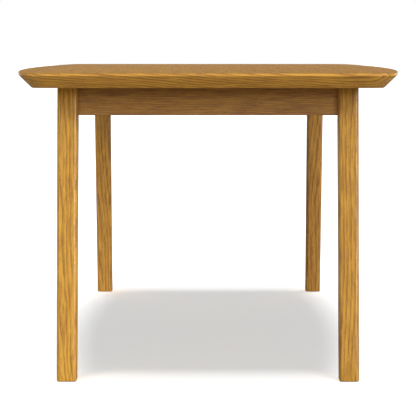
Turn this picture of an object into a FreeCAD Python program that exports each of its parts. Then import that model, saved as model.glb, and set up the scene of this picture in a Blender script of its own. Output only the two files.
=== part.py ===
"""Dining table with a bowed top, an undercut bevel all round, and four soft-cornered legs splayed along it.

Millimetres. The frame's origin is on the floor under the middle of the top, +Z is up and +Y runs along the
table's length. The front-left corner is modelled in its own leg frame and mirrored to the other three.
"""

import FreeCAD
import Part
import math
import os

from FreeCAD import Vector

# Whole table
TABLE_HEIGHT = 750.0
TOP_LENGTH = 1800.0
TOP_WIDTH = 1012.0
TOP_SIDE_BOW = 62.0
TOP_CORNER_RADIUS = 60.0

# Table top: a core board with solid lippings, under a face veneer and a backing veneer
TOP_THICKNESS = 36.0
EDGE_BAND_HEIGHT = 7.0
BEVEL_INSET = 30.0
VENEER_THICKNESS = 0.8
LIPPING_WIDTH = 45.0
TONGUE_THICKNESS = 8.0
TONGUE_DEPTH = 9.0
TONGUE_SIDE_CLEARANCE = 0.1
TONGUE_END_CLEARANCE = 0.5

# Legs, square with rounded corners and leaning outwards along the table's length, with a parallel head
LEG_HEAD_WIDTH = 51.0
LEG_HEAD_LENGTH = 80.0
LEG_FOOT_WIDTH = 48.0
LEG_CORNER_RADIUS = 9.0
BOLT_FLAT_DEPTH = 3.0
LEG_SET_IN_ACROSS = 162.0
FOOT_SET_IN_ALONG = 86.5
LEG_SPLAY_DEGREES = 7.65
FOOT_ROUND = 3.0
FOOT_ROUND_STEPS = 2

# Glides stuck under the feet
GLIDE_HEIGHT = 1.0
GLIDE_RADIUS = 16.0

# Rails
RAIL_THICKNESS = 22.0
RAIL_HEIGHT = 70.0
RAIL_EDGE_ROUND = 2.0
CROSS_RAIL_HEIGHT = 44.0
CLIP_GROOVE_WIDTH = 3.0
CLIP_GROOVE_DEPTH = 9.0
CLIP_GROOVE_DROP = 11.0

# Stub tenons on the rails, in mortises in the legs and in the side rails
TENON_THICKNESS = 10.0
TENON_LENGTH = 12.0
TENON_TOP_SHOULDER = 16.0
TENON_BOTTOM_SHOULDER = 8.0
CROSS_TENON_LENGTH = 10.0
MORTISE_SIDE_CLEARANCE = 0.1
MORTISE_END_CLEARANCE = 1.0

# Folded steel corner brackets
BRACKET_HEIGHT = 44.0
BRACKET_SHEET = 2.0
BRACKET_WEB_DISTANCE = 50.0
BRACKET_FLANGE_LENGTH = 26.0
BRACKET_LIP_DEPTH = 7.0
BRACKET_BEND_RADIUS = 1.2
BRACKET_RISE_OVER_RAIL_MIDDLE = 4.0
KERF_SIDE_CLEARANCE = 0.4
KERF_END_CLEARANCE = 1.0

# Hanger bolt, washer and nut
BOLT_RADIUS = 4.0
BOLT_LENGTH = 75.0
BOLT_IN_LEG = 38.0
WASHER_RADIUS = 11.0
WASHER_THICKNESS = 1.6
NUT_ACROSS_FLATS = 13.0
NUT_HEIGHT = 6.5
BRACKET_HOLE_CLEARANCE = 0.5
WASHER_HOLE_CLEARANCE = 0.2

# Slots and counterbores for 4 mm wood screws
SCREW_SLOT_WIDTH = 4.4
SCREW_SLOT_LENGTH = 7.0
COUNTERBORE_RADIUS = 4.5
COUNTERBORE_DEPTH = 12.0

# Folded steel clips that hold the top down on the rails
CLIP_WIDTH = 20.0
CLIP_SHEET = 2.0
CLIP_TONGUE_DEPTH = 7.0
CLIP_STAND_OFF = 10.0
CLIP_FOOT_LENGTH = 22.0
CLIP_BEND_RADIUS = 0.8
CLIP_SIDE_SHARES = (-0.3, 0.3)
CLIP_END_SHARES = (0.0,)
COUNTERBORE_SHARES = (-0.25, 0.25)

# Shared fits
DRILL_CLEARANCE = 0.05
DRILL_END_CLEARANCE = 1.0
CUT_OVERRUN = 40.0

UNDERSIDE = TABLE_HEIGHT - TOP_THICKNESS
RAIL_BOTTOM = UNDERSIDE - RAIL_HEIGHT
SPLAY = math.radians(LEG_SPLAY_DEGREES)
LEG_X = TOP_WIDTH / 2 - LEG_SET_IN_ACROSS
FOOT_Y = TOP_LENGTH / 2 - FOOT_SET_IN_ALONG
UP = Vector(0, 0, 1)
ALONG_X = Vector(1, 0, 0)
ALONG_Y = Vector(0, 1, 0)
ORIGIN = Vector(0, 0, 0)


def save(name, *solids):
    """Writes one node from one or more separate solids."""
    shape = solids[0] if len(solids) == 1 else Part.makeCompound(list(solids))
    shape.exportStep("parts/" + name + ".step")
    print(name, len(shape.Solids), "solid(s)", round(shape.Volume / 1000, 2), "cm3")


def cylinder(radius, start, direction, length):
    return Part.makeCylinder(radius, length, start, direction)


def band_between(low, high):
    """A slab that covers the whole table between two heights."""
    reach = TOP_LENGTH
    return Part.makeBox(2 * reach, 2 * reach, high - low, Vector(-reach, -reach, low))


def polygon_prism(points, extrusion):
    wire = Part.makePolygon(list(points) + [points[0]])
    return Part.Face(wire).extrude(extrusion)


def edges_along(shape, direction, near=None, tolerance=1e-3):
    """Straight edges parallel to a direction, and in line with one of the near points if any are given."""
    found = []
    for edge in shape.Edges:
        if len(edge.Vertexes) != 2:
            continue
        run = edge.Vertexes[1].Point - edge.Vertexes[0].Point
        if run.Length < tolerance or run.cross(direction).Length > tolerance * run.Length:
            continue
        if near is None or any((edge.CenterOfMass - p).cross(direction).Length < tolerance for p in near):
            found.append(edge)
    return found


# The top's outline: each long side is one arc, each end is straight and each corner is rounded into both
SIDE_RADIUS = ((TOP_LENGTH / 2) ** 2 + TOP_SIDE_BOW ** 2) / (2 * TOP_SIDE_BOW)
SIDE_CENTRE_X = TOP_WIDTH / 2 - SIDE_RADIUS
CORNER_Y = TOP_LENGTH / 2 - TOP_CORNER_RADIUS
CORNER_X = SIDE_CENTRE_X + math.sqrt((SIDE_RADIUS - TOP_CORNER_RADIUS) ** 2 - CORNER_Y ** 2)
SIDE_END_ANGLE = math.atan2(CORNER_Y, CORNER_X - SIDE_CENTRE_X)
MITRE_ANGLE = (SIDE_END_ANGLE + math.pi / 2) / 2


def on_arc(centre_x, centre_y, radius, angle, height):
    return Vector(centre_x + radius * math.cos(angle), centre_y + radius * math.sin(angle), height)


def outline(inset, height):
    """The top's outline as a wire, moved inwards by inset, at a height."""
    side = SIDE_RADIUS - inset
    corner = TOP_CORNER_RADIUS - inset
    side_middle = on_arc(SIDE_CENTRE_X, 0, side, 0, height)
    side_end = on_arc(SIDE_CENTRE_X, 0, side, SIDE_END_ANGLE, height)
    corner_middle = on_arc(CORNER_X, CORNER_Y, corner, MITRE_ANGLE, height)
    end_start = Vector(CORNER_X, TOP_LENGTH / 2 - inset, height)

    def at(point, sign_x, sign_y):
        return Vector(sign_x * point.x, sign_y * point.y, point.z)

    def arc(signs, *points):
        return Part.Arc(*[at(point, *sign) for point, sign in zip(points, signs)])

    edges = []
    for sign in (1, -1):
        near = (sign, sign)
        far = (-sign, sign)
        edges.append(arc(((sign, -sign), near, near), side_end, side_middle, side_end))
        edges.append(arc((near, near, near), side_end, corner_middle, end_start))
        edges.append(Part.LineSegment(at(end_start, *near), at(end_start, *far)))
        edges.append(arc((far, far, far), end_start, corner_middle, side_end))
    return Part.Wire([edge.toShape() for edge in edges])


def plate(inset, low, high):
    """A flat plate of the top's outline between two heights."""
    return Part.Face(outline(inset, low)).extrude(Vector(0, 0, high - low))


def flared(low_inset, low, high_inset, high):
    """A plate whose edge slopes from one inset to another."""
    return Part.makeLoft([outline(low_inset, low), outline(high_inset, high)], True, True)


KNIFE_EDGE = TABLE_HEIGHT - EDGE_BAND_HEIGHT
FACE_GLUE_LINE = TABLE_HEIGHT - VENEER_THICKNESS
BACK_GLUE_LINE = UNDERSIDE + VENEER_THICKNESS
INSET_AT_BACK_GLUE = BEVEL_INSET * (KNIFE_EDGE - BACK_GLUE_LINE) / (KNIFE_EDGE - UNDERSIDE)
TONGUE_MIDDLE = UNDERSIDE + TOP_THICKNESS / 2


def face_veneer():
    return plate(0, FACE_GLUE_LINE, TABLE_HEIGHT)


def back_veneer():
    return flared(BEVEL_INSET, UNDERSIDE, INSET_AT_BACK_GLUE, BACK_GLUE_LINE)


def ring(outer_inset, inner_inset, thickness):
    """A flat ring round the tongue's height."""
    low = TONGUE_MIDDLE - thickness / 2
    high = TONGUE_MIDDLE + thickness / 2
    return plate(outer_inset, low, high).cut(plate(inner_inset, low, high))


def top_core():
    """The core board, with the groove that takes the lippings' tongues."""
    groove = ring(LIPPING_WIDTH, LIPPING_WIDTH + TONGUE_DEPTH + TONGUE_END_CLEARANCE,
                  TONGUE_THICKNESS + 2 * TONGUE_SIDE_CLEARANCE)
    return plate(LIPPING_WIDTH, BACK_GLUE_LINE, FACE_GLUE_LINE).cut(groove)


def lippings():
    """The rim with its edge band, undercut bevel and tongue, mitred into two end and two side lippings."""
    band = plate(0, KNIFE_EDGE, FACE_GLUE_LINE)
    bevel = flared(INSET_AT_BACK_GLUE, BACK_GLUE_LINE, 0, KNIFE_EDGE)
    body = band.fuse(bevel).cut(plate(LIPPING_WIDTH, BACK_GLUE_LINE, FACE_GLUE_LINE))
    rim = body.fuse(ring(LIPPING_WIDTH, LIPPING_WIDTH + TONGUE_DEPTH, TONGUE_THICKNESS)).removeSplitter()
    start = Vector(CORNER_X, CORNER_Y, UNDERSIDE)
    out = on_arc(CORNER_X, CORNER_Y, 2 * TOP_CORNER_RADIUS, MITRE_ANGLE, UNDERSIDE)
    ends = []
    for sign in (-1, 1):
        corners = [Vector(-start.x, sign * start.y, start.z), Vector(-out.x, sign * out.y, out.z),
                   Vector(out.x, sign * out.y, out.z), Vector(start.x, sign * start.y, start.z)]
        ends.append(polygon_prism(corners, Vector(0, 0, TOP_THICKNESS)))
    front, rear = (rim.common(end).Solids[0] for end in ends)
    left, right = sorted(rim.cut(ends).Solids, key=lambda solid: solid.CenterOfMass.x)
    return {"lipping_front_end": front, "lipping_rear_end": rear,
            "lipping_left_side": left, "lipping_right_side": right}


# The front-left leg's own frame: +X and +Y point inwards, square to the leg, and +Z runs up its axis
def in_leg_frame(shape):
    placed = shape.copy()
    placed.rotate(ORIGIN, ALONG_X, -LEG_SPLAY_DEGREES)
    placed.translate(Vector(-LEG_X, -FOOT_Y, 0))
    return placed


def in_end_frame(shape):
    """As the leg's frame, but with X measured from the middle of the table."""
    placed = shape.copy()
    placed.rotate(ORIGIN, ALONG_X, -LEG_SPLAY_DEGREES)
    placed.translate(Vector(0, -FOOT_Y, 0))
    return placed


CORNERS = {"front_left": (1, 1), "front_right": (-1, 1), "rear_left": (1, -1), "rear_right": (-1, -1)}


def mirrored(shape, flip_x, flip_y):
    """A front-left shape at another corner: a flip of -1 mirrors it across the table's middle."""
    placed = shape.copy()
    if flip_x < 0:
        placed = placed.mirror(ORIGIN, ALONG_X)
    if flip_y < 0:
        placed = placed.mirror(ORIGIN, ALONG_Y)
    return placed


def at_every_corner(shape):
    return [mirrored(shape, *flips) for flips in CORNERS.values()]


def along_leg(height):
    """How far up the leg's axis a height lies."""
    return height / math.cos(SPLAY)


LEG_TOP = along_leg(UNDERSIDE)
RAIL_MIDDLE = along_leg(UNDERSIDE - RAIL_HEIGHT / 2)
FIXING_LEVEL = RAIL_MIDDLE + BRACKET_RISE_OVER_RAIL_MIDDLE
SHOULDER = LEG_HEAD_WIDTH / 2
RAIL_FACE = RAIL_THICKNESS / 2

# The hanger bolt lies on the diagonal between the two rails, and goes in at a flat on the leg's inner corner
DIAGONAL = Vector(1, 1, 0).normalize()
BOLT_FLAT = math.sqrt(2) * SHOULDER - (math.sqrt(2) - 1) * LEG_CORNER_RADIUS - BOLT_FLAT_DEPTH
BOLT_START = BOLT_FLAT - BOLT_IN_LEG
WEB_BACK = BRACKET_WEB_DISTANCE + BRACKET_SHEET


def on_diagonal(distance):
    return Vector(0, 0, FIXING_LEVEL) + DIAGONAL * distance


def tenon_span(clearance=0):
    """The low and high ends of the rails' tenons along the leg's axis, or of their mortises."""
    low = along_leg(RAIL_BOTTOM + TENON_BOTTOM_SHOULDER) - clearance
    high = along_leg(UNDERSIDE - TENON_TOP_SHOULDER) + clearance
    return low, high


def end_rail_tenon():
    """The end rail's left tenon, run back to the shoulder's far side so that it joins the board."""
    low, high = tenon_span()
    return in_leg_frame(Part.makeBox(TENON_LENGTH + RAIL_FACE, TENON_THICKNESS, high - low,
                                     Vector(SHOULDER - TENON_LENGTH, -TENON_THICKNESS / 2, low)))


def side_rail_tenon():
    low, high = tenon_span()
    return in_leg_frame(Part.makeBox(TENON_THICKNESS, TENON_LENGTH + RAIL_FACE, high - low,
                                     Vector(-TENON_THICKNESS / 2, SHOULDER - TENON_LENGTH, low)))


def leg_mortises():
    """The two mortises in the head of the front-left leg, cut in from outside its surface."""
    low, high = tenon_span(MORTISE_SIDE_CLEARANCE)
    start = SHOULDER - TENON_LENGTH - MORTISE_END_CLEARANCE
    width = TENON_THICKNESS + 2 * MORTISE_SIDE_CLEARANCE
    for_end_rail = Part.makeBox(CUT_OVERRUN, width, high - low, Vector(start, -width / 2, low))
    for_side_rail = Part.makeBox(width, CUT_OVERRUN, high - low, Vector(-width / 2, start, low))
    return [in_leg_frame(for_end_rail), in_leg_frame(for_side_rail)]


def leg_section(height, width, corner):
    """A level section of the front-left leg: a square with rounded corners, longer along the lean."""
    reach_x = width / 2 - corner
    reach_y = width / 2 / math.cos(SPLAY) - corner
    middle_y = -FOOT_Y + height * math.tan(SPLAY)
    corners = []
    for quarter, (sign_x, sign_y) in enumerate(((1, 1), (-1, 1), (-1, -1), (1, -1))):
        turns = [(quarter + share) * math.pi / 2 for share in (0, 0.5, 1)]
        corners.append([on_arc(-LEG_X + sign_x * reach_x, middle_y + sign_y * reach_y, corner, turn, height)
                        for turn in turns])
    edges = []
    for here, after in zip(corners, corners[1:] + corners[:1]):
        edges.append(Part.Arc(*here))
        edges.append(Part.LineSegment(here[-1], after[0]))
    return Part.Wire([edge.toShape() for edge in edges])


def bolt_flat():
    """The cutter for the flat down the inner corner of the leg's head."""
    start = DIAGONAL * BOLT_FLAT
    aside = UP.cross(DIAGONAL) * LEG_CORNER_RADIUS
    out = DIAGONAL * LEG_CORNER_RADIUS
    block = polygon_prism([start - aside, start + aside, start + aside + out, start - aside + out],
                          UP * (LEG_TOP + CUT_OVERRUN))
    return in_leg_frame(block).common(band_between(UNDERSIDE - LEG_HEAD_LENGTH, TABLE_HEIGHT))


def leg():
    """The front-left leg: a parallel head, a taper and a foot that is rounded over in steps."""
    sections = []
    for step in range(FOOT_ROUND_STEPS + 1):
        angle = math.pi / 2 * step / FOOT_ROUND_STEPS
        inset = FOOT_ROUND * (1 - math.sin(angle))
        height = GLIDE_HEIGHT + FOOT_ROUND * (1 - math.cos(angle))
        sections.append(leg_section(height, LEG_FOOT_WIDTH - 2 * inset, LEG_CORNER_RADIUS - inset))
    for height in (UNDERSIDE - LEG_HEAD_LENGTH, UNDERSIDE):
        sections.append(leg_section(height, LEG_HEAD_WIDTH, LEG_CORNER_RADIUS))
    drill_start = on_diagonal(BOLT_START - DRILL_END_CLEARANCE)
    bolt_hole = in_leg_frame(cylinder(BOLT_RADIUS + DRILL_CLEARANCE, drill_start, DIAGONAL,
                                      BOLT_IN_LEG + CUT_OVERRUN))
    return Part.makeLoft(sections, True, True).cut([bolt_flat(), bolt_hole] + leg_mortises())


def glide():
    """A nylon glide under the front-left foot, on the leg's axis."""
    centre = Vector(-LEG_X, -FOOT_Y + GLIDE_HEIGHT * math.tan(SPLAY), 0)
    return cylinder(GLIDE_RADIUS, centre, UP, GLIDE_HEIGHT)


# Corner bracket, in the leg's frame: a diagonal web, a flange on each rail and a lip in each rail's kerf
WEB_SUM = BRACKET_WEB_DISTANCE * math.sqrt(2)
FLANGE_START = WEB_SUM - RAIL_FACE
KERF_AT = FLANGE_START + BRACKET_FLANGE_LENGTH
BRACKET_BASE = FIXING_LEVEL - BRACKET_HEIGHT / 2


def sheet_prism(path, thickness, bend_radius, extrusion, plane):
    """A folded strip: a path of points in a plane, thickened to its right, extruded and rounded at its bends.

    plane turns a pair of plane coordinates into a point.
    """
    runs = []
    for (ax, ay), (bx, by) in zip(path, path[1:]):
        length = math.hypot(bx - ax, by - ay)
        runs.append(((bx - ax) / length, (by - ay) / length))
    shifted = []
    for index, (px, py) in enumerate(path):
        before = runs[max(index - 1, 0)]
        after = runs[min(index, len(runs) - 1)]
        nx = before[1] + after[1]
        ny = -before[0] - after[0]
        scale = 2 * thickness / (nx * nx + ny * ny)
        shifted.append((px + nx * scale, py + ny * scale))
    strip = polygon_prism([plane(*p) for p in path + shifted[::-1]], extrusion)
    direction = Vector(extrusion).normalize()
    for index in range(1, len(path) - 1):
        turn = runs[index - 1][0] * runs[index][1] - runs[index - 1][1] * runs[index][0]
        inner, outer = (path, shifted) if turn > 0 else (shifted, path)
        for side, radius in ((inner, bend_radius), (outer, bend_radius + thickness)):
            strip = strip.makeFillet(radius, edges_along(strip, direction, [plane(*side[index])]))
    return strip


def screw_slot(start, along, across, depth):
    """The cutter for a screw's slot: along and across are its directions, and depth leads on from its start."""
    half_length = along * (SCREW_SLOT_LENGTH / 2)
    half_width = across * (SCREW_SLOT_WIDTH / 2)
    return polygon_prism([start - half_length - half_width, start + half_length - half_width,
                          start + half_length + half_width, start - half_length + half_width], depth)


def bracket():
    """The front-left corner bracket, folded from steel sheet."""
    lip_end = RAIL_FACE - BRACKET_LIP_DEPTH
    path = [(KERF_AT, lip_end), (KERF_AT, RAIL_FACE), (FLANGE_START, RAIL_FACE),
            (RAIL_FACE, FLANGE_START), (RAIL_FACE, KERF_AT), (lip_end, KERF_AT)]
    fold = sheet_prism(path, BRACKET_SHEET, BRACKET_BEND_RADIUS, Vector(0, 0, BRACKET_HEIGHT),
                       lambda x, y: Vector(x, y, BRACKET_BASE))
    middle = FLANGE_START + BRACKET_FLANGE_LENGTH / 2
    bolt_hole = cylinder(BOLT_RADIUS + BRACKET_HOLE_CLEARANCE, on_diagonal(BOLT_FLAT), DIAGONAL,
                         BRACKET_WEB_DISTANCE)
    slots = [screw_slot(Vector(middle, 0, FIXING_LEVEL), ALONG_X, UP, ALONG_Y * KERF_AT),
             screw_slot(Vector(0, middle, FIXING_LEVEL), ALONG_Y, UP, ALONG_X * KERF_AT)]
    return in_leg_frame(fold.cut([bolt_hole] + slots))


def bracket_kerfs():
    """The saw kerfs that take the bracket's lips, in the end rail and in the side rail."""
    depth = BRACKET_LIP_DEPTH + KERF_END_CLEARANCE
    start = KERF_AT - BRACKET_BEND_RADIUS
    width = BRACKET_BEND_RADIUS + BRACKET_SHEET + KERF_SIDE_CLEARANCE
    height = LEG_TOP + CUT_OVERRUN
    in_end_rail = Part.makeBox(width, depth + CUT_OVERRUN, height, Vector(start, RAIL_FACE - depth, 0))
    in_side_rail = Part.makeBox(depth + CUT_OVERRUN, width, height, Vector(RAIL_FACE - depth, start, 0))
    return in_leg_frame(in_end_rail), in_leg_frame(in_side_rail)


def hanger_bolt():
    """The front-left hanger bolt, screwed into the leg. Its plain length takes the nut."""
    return in_leg_frame(cylinder(BOLT_RADIUS, on_diagonal(BOLT_START), DIAGONAL, BOLT_LENGTH))


def washer():
    disc = cylinder(WASHER_RADIUS, on_diagonal(WEB_BACK), DIAGONAL, WASHER_THICKNESS)
    return in_leg_frame(disc.cut(cylinder(BOLT_RADIUS + WASHER_HOLE_CLEARANCE, on_diagonal(0), DIAGONAL,
                                          WEB_BACK + CUT_OVERRUN)))


def nut():
    seat = WEB_BACK + WASHER_THICKNESS
    corner_radius = NUT_ACROSS_FLATS / math.sqrt(3)
    sideways = UP.cross(DIAGONAL)
    corners = []
    for step in range(6):
        angle = step * math.pi / 3
        corners.append(on_diagonal(seat) + sideways * (corner_radius * math.cos(angle)) +
                       UP * (corner_radius * math.sin(angle)))
    bore = cylinder(BOLT_RADIUS + DRILL_CLEARANCE, on_diagonal(0), DIAGONAL, seat + CUT_OVERRUN)
    return in_leg_frame(polygon_prism(corners, DIAGONAL * NUT_HEIGHT).cut(bore))


# Clips. The tongue bears on the upper wall of the rail's groove, and the foot is screwed to the underside
GROOVE_TOP = UNDERSIDE - CLIP_GROOVE_DROP + CLIP_GROOVE_WIDTH / 2
GROOVE_BOTTOM = GROOVE_TOP - CLIP_GROOVE_WIDTH
CLIP_SLOT_OUT = CLIP_STAND_OFF + CLIP_SHEET + (CLIP_FOOT_LENGTH - CLIP_SHEET) / 2


def end_rail_face_y(height):
    """Y of the front end rail's inner face at a height."""
    return -FOOT_Y + height * math.tan(SPLAY) + RAIL_FACE / math.cos(SPLAY)


def side_rail_end_y(height):
    """Y of the side rails' front end cut at a height."""
    return -FOOT_Y + (height + SHOULDER * math.sin(SPLAY)) * math.tan(SPLAY) + SHOULDER * math.cos(SPLAY)


SIDE_RAIL_HALF_LENGTH = -side_rail_end_y(UNDERSIDE)
SIDE_RAIL_INNER_X = LEG_X - RAIL_FACE


def clip(face_point, inward):
    """One clip, from face_point, on the rail's inner face at the underside's height, inwards."""
    across = UP.cross(inward)
    corner = face_point - across * (CLIP_WIDTH / 2)
    tongue_top = GROOVE_TOP - UNDERSIDE
    path = [(CLIP_STAND_OFF + CLIP_FOOT_LENGTH, 0), (CLIP_STAND_OFF, 0), (CLIP_STAND_OFF, tongue_top),
            (-CLIP_TONGUE_DEPTH, tongue_top)]

    def in_section(out, rise):
        return corner + inward * out + UP * rise

    shifted = [(x, y) for x, y in reversed(path)]
    fold = sheet_prism(shifted, CLIP_SHEET, CLIP_BEND_RADIUS, across * CLIP_WIDTH, in_section)
    return fold.cut(screw_slot(face_point + inward * CLIP_SLOT_OUT, inward, across, UP * (-2 * CLIP_SHEET)))


def clip_places():
    """Where each clip meets its rail, at the underside's height, and the way it points."""
    places = []
    for sign in (-1, 1):
        for share in CLIP_SIDE_SHARES:
            point = Vector(sign * SIDE_RAIL_INNER_X, 2 * share * SIDE_RAIL_HALF_LENGTH, UNDERSIDE)
            places.append((point, Vector(-sign, 0, 0)))
        for share in CLIP_END_SHARES:
            point = Vector(2 * share * LEG_X, sign * -end_rail_face_y(GROOVE_TOP), UNDERSIDE)
            places.append((point, Vector(0, -sign, 0)))
    return places


def cross_tenon(clearance=0, end_clearance=0):
    """The cross rail's tenons as one bar from side rail to side rail, or their mortises with clearances."""
    reach = SIDE_RAIL_INNER_X + CROSS_TENON_LENGTH + end_clearance
    thickness = TENON_THICKNESS + 2 * clearance
    low = UNDERSIDE - CROSS_RAIL_HEIGHT + TENON_BOTTOM_SHOULDER - clearance
    high = UNDERSIDE - TENON_TOP_SHOULDER + clearance
    return Part.makeBox(2 * reach, thickness, high - low, Vector(-reach, -thickness / 2, low))


def rounded_lower_edges(rail, direction, height):
    """Rounds a rail's two long lower edges."""
    low = [edge for edge in edges_along(rail, direction)
           if abs(edge.CenterOfMass.z - height) < RAIL_EDGE_ROUND / 2]
    return rail.makeFillet(RAIL_EDGE_ROUND, low)


def end_rail():
    """The front end rail. It leans with the legs, and its edges are ripped level."""
    half_length = LEG_X - SHOULDER
    board = Part.makeBox(2 * half_length, RAIL_THICKNESS, LEG_TOP + CUT_OVERRUN,
                         Vector(-half_length, -RAIL_FACE, 0))
    rail = in_end_frame(board).common(band_between(RAIL_BOTTOM, UNDERSIDE))
    rail = rounded_lower_edges(rail, ALONG_X, RAIL_BOTTOM)
    groove = Part.makeBox(2 * half_length, CLIP_GROOVE_DEPTH + CUT_OVERRUN, CLIP_GROOVE_WIDTH,
                          Vector(-half_length, end_rail_face_y(GROOVE_TOP) - CLIP_GROOVE_DEPTH, GROOVE_BOTTOM))
    kerf = bracket_kerfs()[0]
    tenon = end_rail_tenon()
    return rail.fuse([tenon, mirrored(tenon, -1, 1)]).cut([kerf, mirrored(kerf, -1, 1), groove])


def side_rail():
    """The left side rail, with its ends cut to the legs' lean."""
    section = [Vector(-LEG_X - RAIL_FACE, side_rail_end_y(RAIL_BOTTOM), RAIL_BOTTOM),
               Vector(-LEG_X - RAIL_FACE, -side_rail_end_y(RAIL_BOTTOM), RAIL_BOTTOM),
               Vector(-LEG_X - RAIL_FACE, -side_rail_end_y(UNDERSIDE), UNDERSIDE),
               Vector(-LEG_X - RAIL_FACE, side_rail_end_y(UNDERSIDE), UNDERSIDE)]
    rail = polygon_prism(section, Vector(RAIL_THICKNESS, 0, 0))
    rail = rounded_lower_edges(rail, ALONG_Y, RAIL_BOTTOM)
    groove = Part.makeBox(CLIP_GROOVE_DEPTH + CUT_OVERRUN, TOP_LENGTH, CLIP_GROOVE_WIDTH,
                          Vector(-SIDE_RAIL_INNER_X - CLIP_GROOVE_DEPTH, -TOP_LENGTH / 2, GROOVE_BOTTOM))
    kerf = bracket_kerfs()[1]
    mortise = cross_tenon(MORTISE_SIDE_CLEARANCE, MORTISE_END_CLEARANCE)
    tenon = side_rail_tenon()
    return rail.fuse([tenon, mirrored(tenon, 1, -1)]).cut([kerf, mirrored(kerf, 1, -1), groove, mortise])


def cross_rail():
    """The rail across the middle that keeps the top flat, counterbored from below for its screws."""
    rail = Part.makeBox(2 * SIDE_RAIL_INNER_X, RAIL_THICKNESS, CROSS_RAIL_HEIGHT,
                        Vector(-SIDE_RAIL_INNER_X, -RAIL_FACE, UNDERSIDE - CROSS_RAIL_HEIGHT))
    rail = rounded_lower_edges(rail, ALONG_X, UNDERSIDE - CROSS_RAIL_HEIGHT)
    floor = UNDERSIDE - CROSS_RAIL_HEIGHT + COUNTERBORE_DEPTH
    floors = [Vector(2 * share * SIDE_RAIL_INNER_X, 0, floor) for share in COUNTERBORE_SHARES]
    bores = [cylinder(COUNTERBORE_RADIUS, place, UP * -1, 2 * COUNTERBORE_DEPTH) for place in floors]
    return rail.fuse(cross_tenon()).removeSplitter().cut(bores)


def main():
    os.makedirs("parts", exist_ok=True)

    save("face_veneer", face_veneer())
    save("back_veneer", back_veneer())
    save("top_core", top_core())
    for name, solid in lippings().items():
        save(name, solid)

    post = leg()
    corner_bracket = bracket()
    for name, flips in CORNERS.items():
        save("leg_" + name, mirrored(post, *flips))
        save("corner_bracket_" + name, mirrored(corner_bracket, *flips))

    front_rail = end_rail()
    save("end_rail_front", front_rail)
    save("end_rail_rear", mirrored(front_rail, 1, -1))
    left_rail = side_rail()
    save("side_rail_left", left_rail)
    save("side_rail_right", mirrored(left_rail, -1, 1))
    save("cross_rail", cross_rail())

    save("foot_glides", *at_every_corner(glide()))
    save("hanger_bolts", *at_every_corner(hanger_bolt()))
    save("bolt_washers", *at_every_corner(washer()))
    save("bolt_nuts", *at_every_corner(nut()))
    save("top_clips", *[clip(*place) for place in clip_places()])


main()
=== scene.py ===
"""Dining table in lacquered oak: finishes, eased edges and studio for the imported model."""

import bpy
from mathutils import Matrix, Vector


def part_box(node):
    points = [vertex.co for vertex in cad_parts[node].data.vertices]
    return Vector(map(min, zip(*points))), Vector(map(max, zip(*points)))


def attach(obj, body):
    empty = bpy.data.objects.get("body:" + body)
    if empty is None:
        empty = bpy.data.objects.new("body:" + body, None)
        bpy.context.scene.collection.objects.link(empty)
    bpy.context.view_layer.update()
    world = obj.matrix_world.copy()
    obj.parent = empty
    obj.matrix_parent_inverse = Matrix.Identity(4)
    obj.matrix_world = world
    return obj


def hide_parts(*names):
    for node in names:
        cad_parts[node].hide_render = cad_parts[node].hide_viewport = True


bl_info = {
    "name": "Oak Dining Table",
    "version": (1, 0, 0),
    "blender": (4, 5, 0),
    "location": "3D View > Sidebar > Dining Table",
    "description": "Builds a bowed oak dining table on splayed legs, with its joints, fixings and studio",
    "category": "Object",
}

import math

import bmesh
import bpy
from mathutils import Vector

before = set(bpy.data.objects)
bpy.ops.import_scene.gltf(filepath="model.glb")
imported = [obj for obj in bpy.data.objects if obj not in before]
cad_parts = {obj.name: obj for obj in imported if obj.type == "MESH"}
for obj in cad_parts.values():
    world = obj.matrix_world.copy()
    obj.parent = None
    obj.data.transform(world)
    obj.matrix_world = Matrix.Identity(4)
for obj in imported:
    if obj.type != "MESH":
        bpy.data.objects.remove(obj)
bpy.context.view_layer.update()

BODY = "root"
CORNERS = {"front_left": (-1, -1), "front_right": (1, -1), "rear_left": (-1, 1), "rear_right": (1, 1)}

TOP_LOW, TOP_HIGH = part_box("face_veneer")
BACK_LOW, BACK_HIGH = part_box("back_veneer")
UNDERSIDE = BACK_LOW.z


# Sizes and colours that a user would change

class TopSizes(bpy.types.PropertyGroup):
    side_bow: bpy.props.FloatProperty(
        name="Side bow", description="How far each long side swells out at its middle",
        default=0.062, min=0.001, unit="LENGTH")
    corner_radius: bpy.props.FloatProperty(
        name="Corner radius", description="Radius of the top's corners in plan",
        default=0.060, min=0.035, unit="LENGTH")
    band_height: bpy.props.FloatProperty(
        name="Edge band", description="Height of the upright band round the top's edge",
        default=0.007, min=0.002, unit="LENGTH")
    bevel_inset: bpy.props.FloatProperty(
        name="Bevel inset", description="How far the undercut bevel runs in under the top",
        default=0.030, min=0.005, unit="LENGTH")
    lipping_width: bpy.props.FloatProperty(
        name="Lipping width", description="Width of the solid lippings round the core board",
        default=0.045, min=0.032, unit="LENGTH")
    arris_round: bpy.props.FloatProperty(
        name="Arris round", description="Radius to which the top's sharp edges are eased",
        default=0.0007, min=0.0001, unit="LENGTH")


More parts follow.
